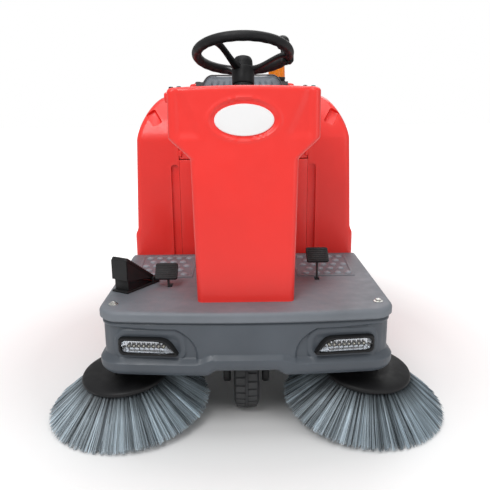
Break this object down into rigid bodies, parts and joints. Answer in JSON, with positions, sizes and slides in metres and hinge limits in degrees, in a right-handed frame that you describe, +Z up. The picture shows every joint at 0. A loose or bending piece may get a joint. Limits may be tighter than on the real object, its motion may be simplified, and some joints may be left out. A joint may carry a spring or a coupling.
{
  "type": "ride-on sweeper",
  "caption": "Ride-on floor sweeper with a steered front wheel, console, seat on a tilting deck, flared side brushes, main broom and pull-out dirt hopper.",
  "frame": {"origin": "on the floor under the middle of the machine's bounding box", "axes": "+Z up, -Y is the front, +X is to the driver's left"},
  "size_m": [1.2518, 1.4801, 1.1767],
  "materials": {
    "red_shell": "satin moulded",
    "deck_grey": "textured",
    "bumper_grey": "textured",
    "black_plastic": "fine grain",
    "black_steel": "powder coat",
    "zinc_steel": "zinc plated",
    "tyre_rubber": "matte",
    "flap_rubber": "matte",
    "side_bristle": "nylon and wire bristle",
    "main_bristle": "nylon bristle",
    "seat_vinyl": "grained vinyl",
    "lamp_silver": "bright reflector",
    "clear_lens": "clear",
    "amber_lens": "clear amber",
    "white_badge": "plain gloss",
    "button_red": "gloss",
    "button_green": "gloss",
    "hopper_grey": "moulded"
  },
  "bodies": {
    "root": {"chassis_frame": "black_steel", "deck_plate": "deck_grey", "tread_panels": "deck_grey", "deck_bolts": "zinc_steel", "front_bumper": "bumper_grey", "headlight_bezels": "black_plastic", "headlight_lamps": "lamp_silver", "headlight_lenses": "clear_lens", "console_front_shell": "red_shell", "console_rear_shell": "red_shell", "dash_panel": "black_plastic", "badge_plate": "white_badge", "steering_column_tube": "black_plastic", "fork_bearing": "black_steel", "throttle_base": "black_plastic", "body_front_panel": "red_shell", "side_towers": "red_shell", "lower_skirts": "bumper_grey", "rear_cowl": "red_shell", "beacon_base": "black_plastic", "beacon_lens": "amber_lens", "broom_housing": "black_steel", "batteries": "black_plastic", "rear_axle_brackets": "black_steel", "filter_and_fan_case": "black_plastic"},
    "steering_wheel": {"steering_shaft": "black_steel", "steering_rim": "black_plastic", "steering_spider": "black_steel", "steering_hub_cap": "black_plastic", "spinner_clamp": "black_steel"},
    "spinner": {"spinner_knob": "black_plastic"},
    "fork": {"steering_fork": "black_steel"},
    "front_wheel": {"front_wheel_rim": "zinc_steel", "front_tyre": "tyre_rubber"},
    "throttle": {"throttle_pedal": "black_plastic"},
    "brake": {"brake_pedal": "black_steel"},
    "flap_lever": {"flap_pedal": "black_steel"},
    "flap": {"front_flap": "flap_rubber"},
    "brush_arm_right": {"side_brush_arm_right": "black_steel"},
    "brush_arm_left": {"side_brush_arm_left": "black_steel"},
    "brush_right": {"side_brush_disc_right": "black_steel", "side_brush_bristles_right": "side_bristle"},
    "brush_left": {"side_brush_disc_left": "black_steel", "side_brush_bristles_left": "side_bristle"},
    "seat": {"seat_deck": "red_shell", "seat_frame": "black_steel", "seat_cushion": "seat_vinyl", "seat_backrest": "seat_vinyl"},
    "hopper": {"hopper_drawer": "hopper_grey"},
    "broom": {"broom_core": "zinc_steel", "broom_bristles": "main_bristle"},
    "fan": {"fan_impeller": "black_plastic"},
    "rear_wheel_left": {"rear_rim_left": "zinc_steel", "rear_tyre_left": "tyre_rubber"},
    "rear_wheel_right": {"rear_rim_right": "zinc_steel", "rear_tyre_right": "tyre_rubber"},
    "key": {"ignition_key": "zinc_steel"},
    "rocker": {"direction_rocker": "black_plastic"},
    "horn": {"horn_button": "button_green"},
    "stop": {"emergency_stop": "button_red"}
  },
  "joints": [
    {"name": "steering_turn", "type": "hinge", "parent": "root", "child": "steering_wheel", "pos_m": [0, -0.23, 1.115], "axis": [0, 0.2924, 0.9563], "range_deg": [-55, 55]},
    {"name": "fork_steer", "type": "hinge", "parent": "root", "child": "fork", "pos_m": [0, -0.443, 0.125], "axis": [0, 0, 1], "range_deg": [-56, 56]},
    {"name": "front_wheel_roll", "type": "hinge", "parent": "fork", "child": "front_wheel", "pos_m": [0, -0.443, 0.125], "axis": [1, 0, 0], "continuous": true},
    {"name": "spinner_knob_turn", "type": "hinge", "parent": "steering_wheel", "child": "spinner", "pos_m": [0.13107, -0.18874, 1.15467], "axis": [0, 0.2924, 0.9563], "continuous": true},
    {"name": "throttle_press", "type": "hinge", "parent": "root", "child": "throttle", "pos_m": [-0.324, -0.35, 0.411], "axis": [0.866, -0.5, 0], "range_deg": [0, 15], "stiffness_Nm_per_rad": 20, "springref_deg": -8.59},
    {"name": "brake_press", "type": "hinge", "parent": "root", "child": "brake", "pos_m": [-0.243, -0.492, 0.362], "axis": [1, 0, 0], "range_deg": [-8, 0], "stiffness_Nm_per_rad": 30, "springref_deg": 8.59},
    {"name": "flap_pedal_press", "type": "hinge", "parent": "root", "child": "flap_lever", "pos_m": [0.238, -0.492, 0.362], "axis": [1, 0, 0], "range_deg": [-10, 0], "stiffness_Nm_per_rad": 40, "springref_deg": 11.46},
    {"name": "front_flap_lift", "type": "hinge", "parent": "root", "child": "flap", "pos_m": [0, -0.1103, 0.092], "axis": [1, 0, 0], "range_deg": [-61, 1]},
    {"name": "brush_lift_right", "type": "hinge", "parent": "root", "child": "brush_arm_right", "pos_m": [-0.318, -0.15, 0.268], "axis": [1, 0, 0], "range_deg": [-5, 0]},
    {"name": "brush_lift_left", "type": "hinge", "parent": "root", "child": "brush_arm_left", "pos_m": [0.318, -0.15, 0.268], "axis": [1, 0, 0], "range_deg": [-5, 0]},
    {"name": "side_brush_spin_right", "type": "hinge", "parent": "brush_arm_right", "child": "brush_right", "pos_m": [-0.373, -0.488, 0.03133], "axis": [-0.0673, -0.1037, 0.9923], "continuous": true},
    {"name": "side_brush_spin_left", "type": "hinge", "parent": "brush_arm_left", "child": "brush_left", "pos_m": [0.373, -0.488, 0.03133], "axis": [0.0673, -0.1037, 0.9923], "continuous": true},
    {"name": "seat_tilt", "type": "hinge", "parent": "root", "child": "seat", "pos_m": [0, -0.003, 0.781], "axis": [1, 0, 0], "range_deg": [0, 60]},
    {"name": "hopper_slide", "type": "slide", "parent": "root", "child": "hopper", "axis": [0, 1, 0], "range_m": [0, 0.42]},
    {"name": "main_broom_spin", "type": "hinge", "parent": "root", "child": "broom", "pos_m": [0, 0.06, 0.14], "axis": [1, 0, 0], "continuous": true},
    {"name": "fan_spin", "type": "hinge", "parent": "root", "child": "fan", "pos_m": [0, 0.337, 0.54], "axis": [0, 0, 1], "continuous": true},
    {"name": "rear_wheel_roll_left", "type": "hinge", "parent": "root", "child": "rear_wheel_left", "pos_m": [0.352, 0.43, 0.15], "axis": [1, 0, 0], "continuous": true},
    {"name": "rear_wheel_roll_right", "type": "hinge", "parent": "root", "child": "rear_wheel_right", "pos_m": [-0.352, 0.43, 0.15], "axis": [1, 0, 0], "continuous": true},
    {"name": "key_turn", "type": "hinge", "parent": "root", "child": "key", "pos_m": [-0.13, -0.2, 0.95], "axis": [0, 1, 0], "range_deg": [0, 60]},
    {"name": "direction_rock", "type": "hinge", "parent": "root", "child": "rocker", "pos_m": [-0.06, -0.2, 0.95], "axis": [1, 0, 0], "range_deg": [-6, 6]},
    {"name": "horn_press", "type": "slide", "parent": "root", "child": "horn", "axis": [0, 1, 0], "range_m": [-0.003, 0], "stiffness_N_per_m": 300, "springref_m": 0.003},
    {"name": "emergency_stop_press", "type": "slide", "parent": "root", "child": "stop", "axis": [0, 1, 0], "range_m": [-0.005, 0], "stiffness_N_per_m": 300, "springref_m": 0.004}
  ],
  "couplings": [
    {"joint": "fork_steer", "follows": "steering_turn", "ratio": 1},
    {"joint": "front_flap_lift", "follows": "flap_pedal_press", "ratio": 6}
  ]
}
